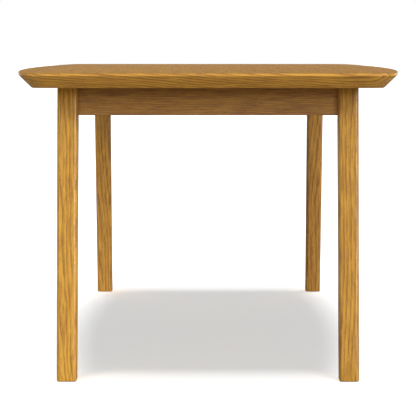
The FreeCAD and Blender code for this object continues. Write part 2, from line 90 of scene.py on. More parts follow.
class LegSizes(bpy.types.PropertyGroup):
    head_width: bpy.props.FloatProperty(
        name="Head width", description="Width of the leg beside the rails",
        default=0.051, min=0.02, unit="LENGTH")
    foot_width: bpy.props.FloatProperty(
        name="Foot width", description="Width of the leg at the floor",
        default=0.048, min=0.02, unit="LENGTH")
    corner_radius: bpy.props.FloatProperty(
        name="Corner radius", description="Radius of the leg's four long corners",
        default=0.009, min=0.002, unit="LENGTH")
    head_length: bpy.props.FloatProperty(
        name="Head length", description="Length of the parallel head",
        default=0.080, min=0.0, unit="LENGTH")
    splay: bpy.props.FloatProperty(
        name="Splay", description="How far the legs lean along the table",
        default=math.radians(7.65), subtype="ANGLE", unit="ROTATION")
    foot_round: bpy.props.FloatProperty(
        name="Foot round", description="Radius round the bottom of the foot",
        default=0.003, min=0.0005, unit="LENGTH")
    bolt_flat: bpy.props.FloatProperty(
        name="Bolt flat", description="Depth of the flat on the inner corner that the hanger bolt goes in at",
        default=0.003, min=0.0, unit="LENGTH")


class FixingSizes(bpy.types.PropertyGroup):
    web_distance: bpy.props.FloatProperty(
        name="Web distance", description="From the leg's axis to the bracket's web",
        default=0.050, unit="LENGTH")
    sheet: bpy.props.FloatProperty(
        name="Sheet", description="Thickness of the brackets' and clips' sheet",
        default=0.002, unit="LENGTH")
    flange_length: bpy.props.FloatProperty(
        name="Flange", description="Length of the bracket's flange on each rail",
        default=0.026, unit="LENGTH")
    rail_thickness: bpy.props.FloatProperty(
        name="Rail thickness", description="Thickness of the rails", default=0.022, unit="LENGTH")
    rail_height: bpy.props.FloatProperty(
        name="Rail height", description="Height of the rails", default=0.070, unit="LENGTH")
    bolt_rise: bpy.props.FloatProperty(
        name="Bolt rise", description="How far the bolt lies over the rails' middle",
        default=0.004, unit="LENGTH")
    bolt_radius: bpy.props.FloatProperty(
        name="Bolt radius", description="Outer radius of the bolt's thread",
        default=0.004, unit="LENGTH")
    bolt_start: bpy.props.FloatProperty(
        name="Bolt start", description="Where the bolt starts, from the leg's axis",
        default=-0.00867, unit="LENGTH")
    bolt_end: bpy.props.FloatProperty(
        name="Bolt end", description="Where the bolt ends, from the leg's axis",
        default=0.06633, unit="LENGTH")
    thread_pitch: bpy.props.FloatProperty(
        name="Thread pitch", description="Pitch of the bolt's thread",
        default=0.00125, min=0.0005, unit="LENGTH")
    washer_radius: bpy.props.FloatProperty(
        name="Washer radius", description="Outer radius of the washer",
        default=0.011, unit="LENGTH")
    washer_thickness: bpy.props.FloatProperty(
        name="Washer thickness", description="Thickness of the washer",
        default=0.0016, unit="LENGTH")
    nut_across_flats: bpy.props.FloatProperty(
        name="Nut across flats", description="Width of the nut", default=0.013, unit="LENGTH")
    nut_height: bpy.props.FloatProperty(
        name="Nut height", description="Height of the nut", default=0.0065, unit="LENGTH")
    screw_head_radius: bpy.props.FloatProperty(
        name="Screw head", description="Radius of the wood screws' heads",
        default=0.004, unit="LENGTH")
    clip_reach: bpy.props.FloatProperty(
        name="Clip reach", description="From a rail's inner face to its clip's screw",
        default=0.022, unit="LENGTH")
    clip_tongue: bpy.props.FloatProperty(
        name="Clip tongue", description="How far a clip's tongue goes into its rail",
        default=0.007, unit="LENGTH")
    clip_share: bpy.props.FloatProperty(
        name="Clip place", description="Place of the clips along the side rails' half length", default=0.6)
    counterbore_share: bpy.props.FloatProperty(
        name="Counterbore place", description="Place of the counterbores along the cross rail's half length",
        default=0.4854)
    counterbore_depth: bpy.props.FloatProperty(
        name="Counterbore depth", description="Depth of the cross rail's counterbores",
        default=0.012, unit="LENGTH")


class OakFinish(bpy.types.PropertyGroup):
    light: bpy.props.FloatVectorProperty(
        name="Late wood", description="Colour of the smooth wood between the grain lines", subtype="COLOR",
        size=3, default=(0.735, 0.384, 0.054))
    dark: bpy.props.FloatVectorProperty(
        name="Early wood", description="Colour of the open-pored grain lines", subtype="COLOR",
        size=3, default=(0.400, 0.175, 0.030))
    pore: bpy.props.FloatVectorProperty(
        name="Pores", description="Colour of the pores, where the stain gathers", subtype="COLOR",
        size=3, default=(0.200, 0.078, 0.012))
    lacquer_roughness: bpy.props.FloatProperty(
        name="Lacquer roughness", description="Roughness of the satin lacquer",
        default=0.40, min=0.05, max=1.0)


class StageSettings(bpy.types.PropertyGroup):
    camera_place: bpy.props.FloatVectorProperty(
        name="Camera", description="Where the camera stands", subtype="TRANSLATION", size=3,
        default=(0.0082, -5.2707, 0.8246), unit="LENGTH")
    camera_pitch: bpy.props.FloatProperty(
        name="Camera pitch", description="How far the camera looks down",
        default=0.0899, subtype="ANGLE")
    camera_yaw: bpy.props.FloatProperty(
        name="Camera yaw", description="How far the camera turns to the left",
        default=0.0018, subtype="ANGLE")
    lens_mm: bpy.props.FloatProperty(
        name="Lens", description="Focal length for a 36 mm sensor", default=159.9, min=20.0)
    front: bpy.props.FloatProperty(
        name="Front lights", description="Strength of the soft lights in front", default=1.0, min=0.0)
    left: bpy.props.FloatProperty(
        name="Left lights", description="Strength of the soft lights on the left", default=1.0, min=0.0)
    right: bpy.props.FloatProperty(
        name="Right lights", description="Strength of the soft lights on the right", default=1.0, min=0.0)
    rear: bpy.props.FloatProperty(
        name="Rear lights", description="Strength of the soft lights behind", default=1.0, min=0.0)
    overhead: bpy.props.FloatProperty(
        name="Overhead lights", description="Strength of the lights above", default=1.0, min=0.0)
    ambient: bpy.props.FloatProperty(
        name="Ambient", description="Strength of the light from all round", default=0.06, min=0.0)
    reflected: bpy.props.FloatProperty(
        name="Reflected room", description="Brightness of the room in glossy reflections",
        default=0.38, min=0.0)
    floor_lift: bpy.props.FloatVectorProperty(
        name="Floor lift", description="Light that the camera sees in the floor's shadow",
        subtype="COLOR", size=3, default=(0.400, 0.461, 0.497))
    floor_colour: bpy.props.FloatVectorProperty(
        name="Floor", description="Colour of the floor",
        subtype="COLOR", size=3, default=(0.752, 0.748, 0.745))
    floor_gain: bpy.props.FloatProperty(
        name="Floor gain", description="How much brighter than its colour the camera sees the lit floor",
        default=4.1, min=1.0)


# Mesh helpers

SHARP_ANGLE = math.radians(28)


def add_piece(name, mesh, material, *nodes):
    """Makes a piece from a mesh, shades it, rides it on the table and lets it stand for CAD nodes."""
    mesh.materials.append(material)
    mesh.shade_smooth()
    mesh.set_sharp_from_angle(angle=SHARP_ANGLE)
    piece = bpy.data.objects.new(name, mesh)
    bpy.context.scene.collection.objects.link(piece)
    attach(piece, BODY)
    if nodes:
        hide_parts(*nodes)
    return piece


def loft(name, *stacks, closed=False):
    """A mesh with one closed skin per stack of rings. Every ring of a stack has as many points.

    A skin ends in caps, or joins its last ring to its first if it is closed.
    """
    vertices, faces = [], []
    for rings in stacks:
        base, count = len(vertices), len(rings[0])
        vertices += [point for ring in rings for point in ring]
        pairs = [(number, number + 1) for number in range(len(rings) - 1)]
        if closed:
            pairs.append((len(rings) - 1, 0))
        for first, second in pairs:
            low, high = base + first * count, base + second * count
            for step in range(count):
                after = (step + 1) % count
                faces.append((low + step, low + after, high + after, high + step))
        if not closed:
            faces.append(tuple(reversed(range(base, base + count))))
            faces.append(tuple(range(len(vertices) - count, len(vertices))))
    mesh = bpy.data.meshes.new(name)
    mesh.from_pydata(vertices, [], faces)
    build = bmesh.new()
    build.from_mesh(mesh)
    bmesh.ops.recalc_face_normals(build, faces=build.faces)
    build.to_mesh(mesh)
    build.free()
    return mesh


def turns_of(sides):
    """The angles of a ring's points."""
    return [2 * math.pi * side / sides for side in range(sides)]


def turned(profile, sides):
    """Rings about the z axis, for (radius, height) pairs."""
    turns = turns_of(sides)
    return [[(radius * math.cos(turn), radius * math.sin(turn), height) for turn in turns]
            for radius, height in profile]


def carried(stack, place):
    """A stack of rings with every point carried to its place."""
    return [[place(point) for point in ring] for ring in stack]


# The top's outline in plan

SIDE_STEPS, END_STEPS, CORNER_STEPS = 72, 48, 9


class Outline:
    """The bowed plan of the top: an arc along each side, straight ends and rounded corners."""

    def __init__(self, sizes):
        self.half_length = (TOP_HIGH.y - TOP_LOW.y) / 2
        half_width = (TOP_HIGH.x - TOP_LOW.x) / 2
        bow, corner = sizes.side_bow, sizes.corner_radius
        self.side_radius = (self.half_length ** 2 + bow ** 2) / (2 * bow)
        self.side_centre = half_width - self.side_radius
        self.corner_radius = corner
        self.corner_y = self.half_length - corner
        reach = math.sqrt((self.side_radius - corner) ** 2 - self.corner_y ** 2)
        self.corner_x = self.side_centre + reach
        self.side_angle = math.atan2(self.corner_y, reach)
        self.mitre = (self.side_angle + math.pi / 2) / 2

    def side_station(self, angle):
        """A place on the right side, as a function that gives the point at an inset."""
        def at(inset):
            radius = self.side_radius - inset
            return self.side_centre + radius * math.cos(angle), radius * math.sin(angle)
        return at

    def corner_station(self, angle):
        """A place on the rounded rear right corner."""
        def at(inset):
            radius = self.corner_radius - inset
            return self.corner_x + radius * math.cos(angle), self.corner_y + radius * math.sin(angle)
        return at

    def end_station(self, x):
        """A place on the straight rear end."""
        return lambda inset: (x, self.half_length - inset)

    def side_stations(self):
        """The right side from the front mitre to the rear one."""
        turn = self.mitre - self.side_angle
        half = [self.side_station(self.side_angle * step / SIDE_STEPS) for step in range(SIDE_STEPS)]
        half += [self.corner_station(self.side_angle + turn * step / CORNER_STEPS)
                 for step in range(CORNER_STEPS + 1)]
        return [flipped(at, 1, -1) for at in reversed(half[1:])] + half

    def end_stations(self):
        """The rear end from the right mitre to the left one."""
        turn = math.pi / 2 - self.mitre
        corner = [self.corner_station(self.mitre + turn * step / CORNER_STEPS)
                  for step in range(CORNER_STEPS)]
        across = [self.end_station(self.corner_x * (1 - 2 * step / END_STEPS))
                  for step in range(END_STEPS + 1)]
        return corner + across + [flipped(at, -1, 1) for at in reversed(corner)]

    def all_round(self, inset):
        """The whole outline at an inset, as points."""
        side, end = self.side_stations(), self.end_stations()
        stations = side + end[1:]
        stations += [flipped(at, -1, -1) for at in side[1:] + end[1:-1]]
        return [at(inset) for at in stations]


def flipped(at, flip_x, flip_y):
    """The same place, mirrored where a flip is -1."""
    def other(inset):
        x, y = at(inset)
        return flip_x * x, flip_y * y
    return other


EASE_STEPS = 3
EASE_SHARE = 0.45


def eased(points, radius):
    """A closed profile with every corner rounded, over EASE_SHARE of the shorter edge at most.

    points are (across, up) pairs.
    """
    rounded = []
    count = len(points)
    for index in range(count):
        before, here, after = (Vector(points[(index + k) % count]) for k in (-1, 0, 1))
        back, ahead = (before - here), (after - here)
        half = back.angle(ahead) / 2
        reach = min(radius / math.tan(half), back.length * EASE_SHARE, ahead.length * EASE_SHARE)
        start, end = here + back.normalized() * reach, here + ahead.normalized() * reach
        for step in range(EASE_STEPS + 1):
            t = step / EASE_STEPS
            point = start * (1 - t) ** 2 + here * (2 * t * (1 - t)) + end * t ** 2
            rounded.append((point.x, point.y))
    return rounded


# Materials

class Nodes:
    """Adds shader nodes to one material and joins them up."""

    def __init__(self, name):
        self.material = bpy.data.materials.new(name)
        self.material.use_nodes = True
        self.tree = self.material.node_tree
        self.shader = self.tree.nodes["Principled BSDF"]

    def add(self, kind, **values):
        node = self.tree.nodes.new(kind)
        for name, value in values.items():
            setattr(node, name, value)
        return node

    def join(self, source, target):
        """Links an output to an input."""
        self.tree.links.new(source, target)

    def feed(self, socket, value):
        """Links an output to the socket, or sets the socket to a constant."""
        if isinstance(value, bpy.types.NodeSocket):
            self.join(value, socket)
        else:
            socket.default_value = value

    def calc(self, operation, first, second=0.0, third=0.0, clamp=False):
        """The result of a Math node."""
        node = self.add("ShaderNodeMath", operation=operation, use_clamp=clamp)
        for socket, value in zip(node.inputs, (first, second, third)):
            self.feed(socket, value)
        return node.outputs[0]

    def mapping(self, vector, scale=(1, 1, 1), rotation=(0, 0, 0)):
        """A vector turned, then stretched."""
        node = self.add("ShaderNodeMapping")
        self.join(vector, node.inputs["Vector"])
        node.inputs["Rotation"].default_value = rotation
        node.inputs["Scale"].default_value = scale
        return node.outputs[0]

    def noise(self, vector, scale, detail=2.0, roughness=0.5):
        """Noise from 0 to 1, stretched by a scale along each axis, in cycles a metre."""
        node = self.add("ShaderNodeTexNoise")
        node.inputs["Scale"].default_value = 1.0
        node.inputs["Detail"].default_value = detail
        node.inputs["Roughness"].default_value = roughness
        self.join(self.mapping(vector, scale), node.inputs["Vector"])
        return node.outputs["Fac"]

    def ramp(self, value, *stops):
        """Maps a value through (position, level) stops, smoothly."""
        node = self.add("ShaderNodeValToRGB")
        node.color_ramp.interpolation = "EASE"
        while len(node.color_ramp.elements) < len(stops):
            node.color_ramp.elements.new(0.5)
        for element, (position, level) in zip(node.color_ramp.elements, stops):
            element.position = position
            element.color = (level, level, level, 1)
        self.feed(node.inputs[0], value)
        return node.outputs[0]

    def mix(self, share, first, second):
        """A blend of two colours, each an output or three numbers."""
        node = self.add("ShaderNodeMix", data_type="RGBA")
        self.feed(node.inputs[0], share)
        for socket, value in ((node.inputs[6], first), (node.inputs[7], second)):
            self.feed(socket, value if isinstance(value, bpy.types.NodeSocket) else (*value, 1))
        return node.outputs[2]

    def bump(self, height, strength, distance):
        """Gives the shader a relief."""
        node = self.add("ShaderNodeBump")
        node.inputs["Strength"].default_value = strength
        node.inputs["Distance"].default_value = distance
        self.join(height, node.inputs["Height"])
        self.join(node.outputs[0], self.shader.inputs["Normal"])


# The turn that brings each grain axis to Y
GRAIN_ALONG = {"x": (0, 0, math.pi / 2), "y": (0, 0, 0), "z": (math.pi / 2, 0, 0)}

# The patterns in the wood, in cycles a metre across, along and up the board
BEND = (11, 1.8, 11)
RIPPLE = (70, 13, 70)
BROAD = (42, 2.2, 42)
FLAME = (200, 15, 200)
STREAK = (330, 26, 330)
FINE = (900, 46, 900)
CELLS = (2300, 80, 2300)

# How far the bend and the ripple move the rings, and the ripple the fibres, in metres
BEND_REACH, RIPPLE_REACH, FIBRE_REACH = 0.034, 0.0040, 0.013

# Early wood through one ring: open pores where it starts, fading to late wood
RING_STOPS = (0.0, 0.55), (0.12, 1.0), (0.50, 0.30), (0.92, 0.0), (1.0, 0.55)
PORE_STOPS = (0.53, 0.0), (0.64, 1.0)

# How much each pattern darkens the wood, and the level taken off their sum
BROAD_WEIGHT, FLAME_WEIGHT, STREAK_WEIGHT, FINE_WEIGHT = 0.60, 2.00, 1.30, 0.40
LATE_LEVEL, RING_LEVEL = 1.73, 0.42

# How the veneer leaves differ: a sine of the leaf's number gives each one a place in the log and a tone
LEAF_TURNS, LEAF_SHIFT = 12.9, 0.35
TONE_TURNS, TONE_SHIFT = 7.3, 0.07

COAT_ROUGHNESS = 0.18
PORE_DEPTH = 0.00025


def oak(node, grain, seed, pith, tilt=0.05, tint=(1.0, 1.0, 1.0), lean=0.0, leaf=0.0, matt=0.0, gloss=0.32,
        coat=0.0, rings=175.0, figure=0.42):
    """Lacquered oak for one node, cut from a log whose pith runs beside it, nearly along the grain.

    grain is the axis that the grain follows and lean turns it about X. pith is the log's middle, across and
    up from the piece's own middle, and tilt is how fast the pith drifts along the grain, which draws the
    cathedral arches. tint multiplies the colours, rings is the number of rings in a metre and figure is how
    much they show. leaf is the width of each veneer leaf, if the piece is laid up from leaves. matt is how
    much rougher the lacquer is than on the rest, and coat is the share of a smoother coat over it.
    """
    look = bpy.context.scene.table_oak
    light, dark, pore = ([share * channel for share, channel in zip(tint, colour)]
                         for colour in (look.light, look.dark, look.pore))
    low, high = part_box(node)
    n = Nodes("oak_" + node)
    middle = n.add("ShaderNodeVectorMath", operation="SUBTRACT")
    n.join(n.add("ShaderNodeTexCoord").outputs["Object"], middle.inputs[0])
    middle.inputs[1].default_value = (low + high) / 2
    axes = n.add("ShaderNodeSeparateXYZ")
    upright = n.mapping(middle.outputs[0], rotation=(lean, 0, 0))
    n.join(n.mapping(upright, rotation=GRAIN_ALONG[grain]), axes.inputs[0])
    across, along, up = axes.outputs
    shift, tone = seed, 0.0
    if leaf:
        number = n.calc("ROUND", n.calc("DIVIDE", across, leaf))
        across = n.calc("MULTIPLY_ADD", number, -leaf, across)
        spot = n.calc("SINE", n.calc("MULTIPLY", number, LEAF_TURNS))
        shift = n.calc("MULTIPLY_ADD", spot, LEAF_SHIFT, seed)
        shade = n.calc("SINE", n.calc("MULTIPLY", number, TONE_TURNS))
        tone = n.calc("MULTIPLY", shade, TONE_SHIFT)
    moved = n.add("ShaderNodeCombineXYZ")
    for socket, value in zip(moved.inputs, (n.calc("ADD", across, shift), n.calc("ADD", along, shift), up)):
        n.join(value, socket)
    board = moved.outputs[0]

    bend = n.noise(board, BEND)
    ripple = n.noise(board, RIPPLE)
    out = n.calc("SUBTRACT", across, pith[0])
    deep = n.calc("SUBTRACT", n.calc("MULTIPLY_ADD", along, tilt, up), pith[1])
    reach = n.calc("SQRT", n.calc("ADD", n.calc("MULTIPLY", out, out), n.calc("MULTIPLY", deep, deep)))
    wavy = n.calc("MULTIPLY_ADD", bend, BEND_REACH, n.calc("MULTIPLY_ADD", ripple, RIPPLE_REACH, reach))
    ring = n.calc("FRACT", n.calc("MULTIPLY", wavy, rings))
    early = n.ramp(ring, *RING_STOPS)

    sway = n.calc("MULTIPLY", ripple, FIBRE_REACH)
    fibre = n.add("ShaderNodeVectorMath", operation="ADD")
    n.join(board, fibre.inputs[0])
    aside = n.add("ShaderNodeCombineXYZ")
    n.join(sway, aside.inputs["X"])
    n.join(sway, aside.inputs["Z"])
    n.join(aside.outputs[0], fibre.inputs[1])
    fibre = fibre.outputs[0]
    broad = n.noise(fibre, BROAD)
    flame = n.noise(fibre, FLAME)
    streak = n.noise(fibre, STREAK, roughness=0.62)
    fine = n.noise(fibre, FINE, roughness=0.6)
    cells = n.noise(fibre, CELLS, detail=1.0)
    pores = n.calc("MULTIPLY", n.ramp(cells, *PORE_STOPS), n.calc("MULTIPLY_ADD", early, 0.70, 0.30))

    grainy = n.calc("MULTIPLY_ADD", early, figure, n.calc("MULTIPLY_ADD", broad, BROAD_WEIGHT, tone))
    grainy = n.calc("SUBTRACT", grainy, LATE_LEVEL + RING_LEVEL * figure)
    grainy = n.calc("MULTIPLY_ADD", flame, FLAME_WEIGHT, grainy)
    grainy = n.calc("MULTIPLY_ADD", streak, STREAK_WEIGHT, grainy)
    grainy = n.calc("MULTIPLY_ADD", fine, FINE_WEIGHT, grainy, clamp=True)
    colour = n.mix(grainy, light, dark)
    colour = n.mix(n.calc("MULTIPLY", pores, 0.50), colour, pore)
    n.join(colour, n.shader.inputs["Base Color"])

    sheen = n.calc("MULTIPLY_ADD", pores, 0.18, look.lacquer_roughness + matt - 0.05)
    n.join(n.calc("MULTIPLY_ADD", streak, 0.10, sheen), n.shader.inputs["Roughness"])
    n.shader.inputs["Specular IOR Level"].default_value = gloss
    n.shader.inputs["Coat Weight"].default_value = coat
    n.shader.inputs["Coat Roughness"].default_value = COAT_ROUGHNESS
    relief = n.calc("MULTIPLY_ADD", pores, -1.0, n.calc("MULTIPLY", fine, 0.35))
    n.bump(relief, 0.4, PORE_DEPTH)
    return n.material


def plain(name, colour, roughness, metallic=0.0):
    """A plain finish with a fine mottle and broader patches, for steel and nylon."""
    n = Nodes(name)
    fleck = 0.12
    darker = [channel * (1 - fleck) for channel in colour]
    lighter = [min(1, channel * (1 + fleck)) for channel in colour]
    place = n.add("ShaderNodeTexCoord").outputs["Object"]
    mottle = n.noise(place, (900, 900, 900), 3.0, 0.6)
    patch = n.noise(place, (38, 38, 38))
    level = n.calc("MULTIPLY_ADD", mottle, 0.5, n.calc("MULTIPLY", patch, 0.5))
    n.join(n.mix(level, darker, lighter), n.shader.inputs["Base Color"])
    n.join(n.calc("MULTIPLY_ADD", level, 0.16, roughness - 0.08), n.shader.inputs["Roughness"])
    n.shader.inputs["Metallic"].default_value = metallic
    n.bump(mottle, 0.2, 0.0001)
    return n.material


def finish_node(node, material):
    """Gives a CAD node that keeps its own shape a better material."""
    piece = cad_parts[node]
    piece.data.materials.clear()
    piece.data.materials.append(material)


# Operators

SENSOR_WIDTH_MM = 36.0

# The soft lights round the table, which don't light the floor: name, setting, share of the setting, then
# azimuth to the right of the camera, elevation and spread in degrees
SIDE_LIGHTS = (
    ("front", "front", 0.45, -15, 28, 20),
    ("front_high", "front", 0.41, 30, 48, 24),
    ("front_low", "front", 0.25, 23, 9, 8),
    ("left", "left", 0.34, -45, 28, 20),
    ("left_low", "left", 0.24, -32, 8, 16),
    ("right_front", "right", 0.75, 45, 28, 20),
    ("right_low", "right", 0.66, 46, 8, 16),
    ("right", "right", 0.60, 76, 28, 20),
    ("rear_left", "rear", 0.80, -140, 9, 40),
    ("rear_right", "rear", 0.80, 140, 9, 40),
)

# Azimuth and elevation of each pair of lights above, which cast the shadow, and their spread
OVERHEAD_PLACES = ((33, 73), (64, 79.5), (119, 79))
OVERHEAD_SPREAD = 10

# Where the lamps are shown, which doesn't change their light
LAMP_AIM = Vector((0, -0.8, 0.45))
LAMP_DISTANCE = 5.0

FLOOR_REACH = 60.0


class TABLE_OT_stage(bpy.types.Operator):
    """Sets up the camera, the white floor and the soft studio light"""
    bl_idname = "dining_table.stage"
    bl_label = "Stage"

    def execute(self, context):
        settings = context.scene.table_stage
        data = bpy.data.cameras.new("camera")
        data.sensor_width = SENSOR_WIDTH_MM
        data.lens = settings.lens_mm
        camera = bpy.data.objects.new("camera", data)
        camera.location = settings.camera_place
        camera.rotation_euler = (math.pi / 2 - settings.camera_pitch, 0, settings.camera_yaw)
        context.scene.collection.objects.link(camera)
        context.scene.camera = camera
        context.scene.view_settings.view_transform = "Standard"

        floor = self.floor(settings)
        off_floor = bpy.data.collections.new("not_lit_by_the_side_lights")
        off_floor.objects.link(floor)
        off_floor.collection_objects[0].light_linking.link_state = "EXCLUDE"
        for name, setting, share, azimuth, elevation, spread in SIDE_LIGHTS:
            lamp = self.sun(name, share * getattr(settings, setting), azimuth, elevation, spread)
            lamp.light_linking.receiver_collection = off_floor
        each = settings.overhead / (2 * len(OVERHEAD_PLACES))
        for azimuth, elevation in OVERHEAD_PLACES:
            self.sun("overhead_left", each, -azimuth, elevation, OVERHEAD_SPREAD)
            self.sun("overhead_right", each, azimuth, elevation, OVERHEAD_SPREAD)
        self.world(context.scene, settings)
        return {"FINISHED"}

    def sun(self, name, strength, azimuth, elevation, spread):
        """A soft light from far away."""
        data = bpy.data.lights.new(name, "SUN")
        data.energy = strength
        data.angle = math.radians(spread)
        lamp = bpy.data.objects.new(name, data)
        turn, rise = math.radians(azimuth), math.radians(elevation)
        level = math.cos(rise)
        towards = Vector((math.sin(turn) * level, -math.cos(turn) * level, math.sin(rise)))
        lamp.rotation_mode = "QUATERNION"
        lamp.rotation_quaternion = towards.to_track_quat("Z", "Y")
        lamp.location = LAMP_AIM + towards * LAMP_DISTANCE
        bpy.context.scene.collection.objects.link(lamp)
        return lamp

    def world(self, scene, settings):
        """White to the camera, and dimmer to gloss and to scattered light."""
        world = bpy.data.worlds.new("studio")
        scene.world = world
        world.use_nodes = True
        tree = world.node_tree
        path = tree.nodes.new("ShaderNodeLightPath")
        level = tree.nodes.new("ShaderNodeValue").outputs[0]
        level.default_value = settings.ambient
        for ray, strength in (("Is Glossy Ray", settings.reflected), ("Is Camera Ray", 1.0)):
            mix = tree.nodes.new("ShaderNodeMix")
            tree.links.new(path.outputs[ray], mix.inputs[0])
            tree.links.new(level, mix.inputs[2])
            mix.inputs[3].default_value = strength
            level = mix.outputs[0]
        light = tree.nodes["Background"]
        light.inputs["Color"].default_value = (1, 1, 1, 1)
        tree.links.new(level, light.inputs["Strength"])

    def floor(self, settings):
        """A pale floor that the camera sees lifted to white outside the table's shadow."""
        corners = [(x * FLOOR_REACH, y * FLOOR_REACH, 0) for x, y in ((-1, -1), (1, -1), (1, 1), (-1, 1))]
        mesh = bpy.data.meshes.new("floor")
        mesh.from_pydata(corners, [], [(0, 1, 2, 3)])
        n = Nodes("pale_floor")
        camera = n.add("ShaderNodeLightPath").outputs["Is Camera Ray"]
        seen = [channel * settings.floor_gain for channel in settings.floor_colour]
        n.join(n.mix(camera, settings.floor_colour, seen), n.shader.inputs["Base Color"])
        n.shader.inputs["Roughness"].default_value = 0.9
        n.shader.inputs["Specular IOR Level"].default_value = 0.0
        n.shader.inputs["Emission Color"].default_value = (*settings.floor_lift, 1)
        n.join(camera, n.shader.inputs["Emission Strength"])
        mesh.materials.append(n.material)
        floor = bpy.data.objects.new("floor", mesh)
        bpy.context.scene.collection.objects.link(floor)
        return floor


FACE_STEPS, BACK_STEPS = 4, 3
LARGEST_BACK_EASE_SHARE = 0.9
BACK_EASE_SHARE = 0.6


class TABLE_OT_top(bpy.types.Operator):
    """Builds the bowed top: face veneer, core, backing veneer and the four bevelled lippings"""
    bl_idname = "dining_table.top"
    bl_label = "Table top"

    def execute(self, context):
        sizes = context.scene.table_top
        plan = Outline(sizes)
        knife = TOP_HIGH.z - sizes.band_height
        slope = sizes.bevel_inset / (knife - UNDERSIDE)
        self.face(plan)
        self.back(plan, sizes, slope)
        finish_node("top_core", oak("top_core", "y", 3.1, (0.0, -0.05)))

        corners = [(0, TOP_LOW.z), (0, knife), ((knife - BACK_HIGH.z) * slope, BACK_HIGH.z),
                   (sizes.lipping_width, BACK_HIGH.z), (sizes.lipping_width, TOP_LOW.z)]
        profile = eased(corners, sizes.arris_round)
        for seed, side, flip in ((5.0, "front_end", -1), (6.0, "rear_end", 1)):
            self.lipping(side, flip, plan.end_stations(), profile, grain="x", seed=seed, pith=(0.045, 0.045),
                         tilt=0.12, tint=(1.09, 1.06, 1.08), figure=1.0)
        for seed, side, flip in ((7.0, "left_side", -1), (8.0, "right_side", 1)):
            self.lipping(side, flip, plan.side_stations(), profile, grain="y", seed=seed,
                         pith=(flip * -0.05, 0.05), tilt=0.06, tint=(1.08, 1.06, 1.04), figure=0.75)
        return {"FINISHED"}

    def lipping(self, side, flip, stations, profile, **wood):
        """One lipping: its section at every station, from mitre to mitre."""
        name = "lipping_" + side
        places = [flipped(at, flip, flip) for at in stations]
        rings = [[(*at(inset), height) for inset, height in profile] for at in places]
        material = oak(name, coat=0.15, rings=150.0, **wood)
        add_piece(name, loft(name, rings), material, name)

    def face(self, plan):
        """The face veneer, with its upper edge rounded over."""
        thickness = TOP_HIGH.z - TOP_LOW.z
        rings = []
        for step in range(FACE_STEPS + 1):
            angle = math.pi / 2 * step / FACE_STEPS
            inset = thickness * (1 - math.cos(angle))
            height = TOP_LOW.z + thickness * math.sin(angle)
            rings.append([(x, y, height) for x, y in plan.all_round(inset)])
        mesh = loft("face_veneer", rings)
        # The face is made darker and relatively bluer than the rest of the oak: painted shade and painted
        # sheen, standing in for the weaker light on the top and the pale reflection it shows when seen at a
        # low angle.
        material = oak("face_veneer", "y", 1.7, (0.01, -0.06), tilt=0.03, tint=(0.70, 0.70, 0.95), leaf=0.172,
                       matt=0.22, gloss=0.24)
        add_piece("face_veneer", mesh, material, "face_veneer")

    def back(self, plan, sizes, slope):
        """The backing veneer, whose edge carries the bevel down to the underside."""
        thickness = BACK_HIGH.z - BACK_LOW.z
        ease = min(sizes.arris_round, thickness * LARGEST_BACK_EASE_SHARE) * BACK_EASE_SHARE
        upper_edge = plan.all_round(sizes.bevel_inset - thickness * slope)
        rings = [[(x, y, BACK_HIGH.z) for x, y in upper_edge]]
        for step in range(BACK_STEPS + 1):
            angle = math.pi / 2 * step / BACK_STEPS
            inset = sizes.bevel_inset + ease * (1 - math.cos(angle))
            height = BACK_LOW.z + ease * (1 - math.sin(angle))
            rings.append([(x, y, height) for x, y in plan.all_round(inset)])
        mesh = loft("back_veneer", rings)
        material = oak("back_veneer", "y", 2.3, (0.0, -0.07), tint=(0.90, 0.90, 0.90), leaf=0.21)
        add_piece("back_veneer", mesh, material, "back_veneer")


class LegFrame:
    """A leg's own frame: x and y point inwards, square to the leg, and z runs up its axis."""

    def __init__(self, corner, sizes):
        low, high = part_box("leg_" + corner)
        self.side, self.end = CORNERS[corner]
        self.splay = sizes.splay
        self.foot, self.head = low.z, high.z
        self.axis_x = (low.x + high.x) / 2
        outer_y = high.y if self.end < 0 else low.y
        self.head_y = outer_y + self.end * sizes.head_width / 2 / math.cos(sizes.splay)

    def axis(self, height):
        """Where the leg's axis is in plan, at a height over the floor."""
        return self.axis_x, self.head_y + self.end * (self.head - height) * math.tan(self.splay)

    def world(self, x, y, z):
        """A point of this frame in the scene's. z counts from where the axis meets the floor."""
        lean, rise = math.sin(self.splay), math.cos(self.splay)
        floor_x, floor_y = self.axis(0)
        return floor_x - self.side * x, floor_y - self.end * (y * rise + z * lean), z * rise - y * lean

    def on_bolt(self, level):
        """Carries a stack whose z axis is the bolt's, on the diagonal at a level."""
        def place(point):
            x, y, z = point
            return self.world((z - x) / math.sqrt(2), (z + x) / math.sqrt(2), level + y)
        return place

    def on_end_rail(self, along, face, level):
        """Carries a stack that points away from the end rail's inner face."""
        return lambda point: self.world(along + point[0], face + point[2], level + point[1])

    def on_side_rail(self, along, face, level):
        """Carries a stack that points away from the side rail's inner face."""
        return lambda point: self.world(face + point[2], along + point[0], level + point[1])


# Each leg's colour against the rest of the oak, partly the board's own tone and partly painted light: the
# rear legs are made bluer, and the rear left leg much lighter, as painted light standing in for the light and
# cool fill that they don't get under the table. The front left leg is lighter than the front right.
LEG_TONE_AND_PAINTED_LIGHT = {"front_left": (1.09, 1.10, 1.00), "front_right": (0.91, 0.90, 0.84),
             "rear_left": (1.30, 1.31, 1.75), "rear_right": (0.94, 0.93, 1.32)}

LEG_FOOT_STEPS, LEG_TAPER_STEPS, LEG_CORNER_STEPS = 5, 16, 10


